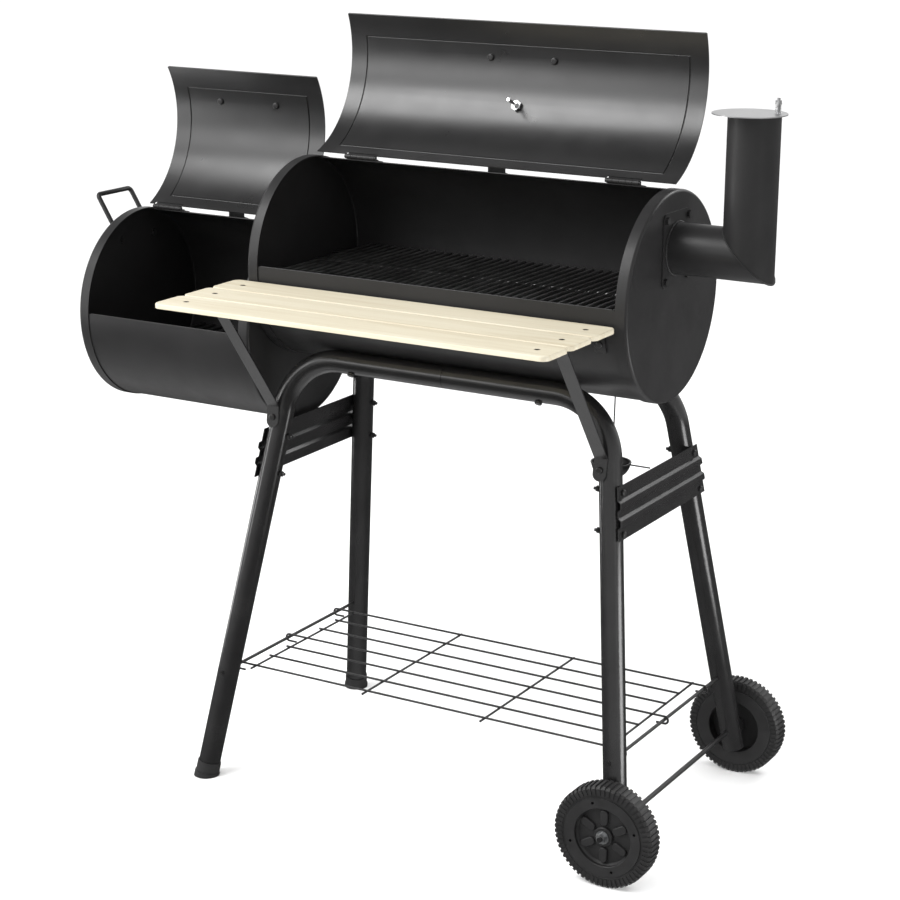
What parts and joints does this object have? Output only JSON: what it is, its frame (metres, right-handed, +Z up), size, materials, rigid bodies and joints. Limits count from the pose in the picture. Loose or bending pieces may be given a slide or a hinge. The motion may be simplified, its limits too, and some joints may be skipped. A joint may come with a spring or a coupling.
{
  "type": "barrel charcoal grill",
  "caption": "Barrel charcoal grill on splayed tube legs with wheels, a lower offset firebox, open hinged lids, a mitred chimney, a slatted front shelf and a wire bottom shelf.",
  "frame": {"origin": "middle of the grill's footprint on the floor, under the middle of its overall box", "axes": "+Z up; +X along the barrel towards the chimney end; -Y is the front, where the slatted shelf is"},
  "size_m": [1.2274, 0.6556, 1.2319],
  "materials": {
    "satin_black_paint": "satin high-heat black paint",
    "lid_black": "smooth satin black paint",
    "frame_black": "semi-gloss black powder coat",
    "black_wire": "black enamelled wire",
    "grate_steel": "plated wire",
    "bare_steel": "plain plated sheet",
    "polished_steel": "polished",
    "zinc_fasteners": "zinc plated",
    "black_fasteners": "blackened steel",
    "tin": "dark painted tin",
    "pale_wood": "smooth pale boards",
    "black_plastic": "matte moulded",
    "grip_black": "heat-resistant grip",
    "dial_white": "printed dial"
  },
  "bodies": {
    "stand": {"air_shutter_bolt": "black_fasteners", "axle": "black_wire", "axle_nuts": "zinc_fasteners", "brace_bolts": "black_fasteners", "brace_left": "frame_black", "brace_right": "frame_black", "chimney_flange": "satin_black_paint", "chimney_pipe": "satin_black_paint", "damper_pivot": "zinc_fasteners", "damper_spring": "zinc_fasteners", "drain_spout": "satin_black_paint", "drip_cup_hook": "black_wire", "end_bolts": "black_fasteners", "firebox_body": "satin_black_paint", "firebox_cap_left": "satin_black_paint", "firebox_cap_right": "satin_black_paint", "foot_back": "black_plastic", "foot_front": "black_plastic", "frame_back_left": "frame_black", "frame_back_right": "frame_black", "frame_bolts": "black_fasteners", "frame_front_left": "frame_black", "frame_front_right": "frame_black", "frame_sleeves": "black_fasteners", "grate_ledges": "satin_black_paint", "hinge_leaves": "satin_black_paint", "hinge_pins": "black_fasteners", "lid_stops": "satin_black_paint", "main_body": "satin_black_paint", "main_cap_left": "satin_black_paint", "main_cap_right": "satin_black_paint", "shelf_brackets": "frame_black", "shelf_rods": "black_wire", "side_handle": "satin_black_paint", "slat_back": "pale_wood", "slat_front": "pale_wood", "slat_middle": "pale_wood", "slat_screws": "black_fasteners", "struts": "frame_black", "wire_shelf": "black_wire"},
    "main_lid": {"main_lid": "lid_black", "main_lid_handle": "grip_black", "main_lid_screws": "black_fasteners", "main_lid_leaves": "satin_black_paint", "thermometer": "polished_steel", "thermometer_dial": "dial_white", "thermometer_nut": "zinc_fasteners"},
    "firebox_lid": {"firebox_lid": "lid_black", "firebox_lid_handle": "grip_black", "firebox_lid_screws": "black_fasteners", "firebox_lid_leaves": "satin_black_paint"},
    "damper": {"damper": "bare_steel"},
    "air_shutter": {"air_shutter": "satin_black_paint"},
    "wheel_front": {"wheel_front": "black_plastic"},
    "wheel_back": {"wheel_back": "black_plastic"},
    "cooking_grate": {"cooking_grate": "grate_steel"},
    "coal_grate": {"coal_grate": "black_wire"},
    "firebox_grate": {"firebox_grate": "black_wire"},
    "drip_cup": {"drip_cup": "tin"}
  },
  "joints": [
    {"name": "main_lid_hinge", "type": "hinge", "parent": "stand", "child": "main_lid", "pos_m": [0.11525, 0.07392, 1.01344], "axis": [1, 0, 0], "range_deg": [0, 155]},
    {"name": "firebox_lid_hinge", "type": "hinge", "parent": "stand", "child": "firebox_lid", "pos_m": [-0.3965, 0.07392, 0.89744], "axis": [1, 0, 0], "range_deg": [0, 146]},
    {"name": "damper_swing", "type": "hinge", "parent": "stand", "child": "damper", "pos_m": [0.59525, 0.0693, 1.132], "axis": [0, 0, 1], "range_deg": [0, 110]},
    {"name": "air_shutter_turn", "type": "hinge", "parent": "stand", "child": "air_shutter", "pos_m": [-0.56375, 0.0553, 0.664], "axis": [1, 0, 0], "range_deg": [0, 60]},
    {"name": "wheel_front_spin", "type": "hinge", "parent": "stand", "child": "wheel_front", "pos_m": [0.48025, -0.1867, 0.081], "axis": [0, 1, 0], "continuous": true},
    {"name": "wheel_back_spin", "type": "hinge", "parent": "stand", "child": "wheel_back", "pos_m": [0.48025, 0.2973, 0.081], "axis": [0, 1, 0], "continuous": true},
    {"name": "cooking_grate_lift", "type": "slide", "parent": "stand", "child": "cooking_grate", "axis": [0, 0, 1], "range_m": [0, 0.04]},
    {"name": "coal_grate_lift", "type": "slide", "parent": "stand", "child": "coal_grate", "axis": [0, 0, 1], "range_m": [0, 0.04]},
    {"name": "firebox_grate_lift", "type": "slide", "parent": "stand", "child": "firebox_grate", "axis": [0, 0, 1], "range_m": [0, 0.06]},
    {"name": "drip_cup_swing", "type": "hinge", "parent": "stand", "child": "drip_cup", "pos_m": [0.35125, 0.0553, 0.6317], "axis": [0, 1, 0], "range_deg": [-12, 12]}
  ]
}
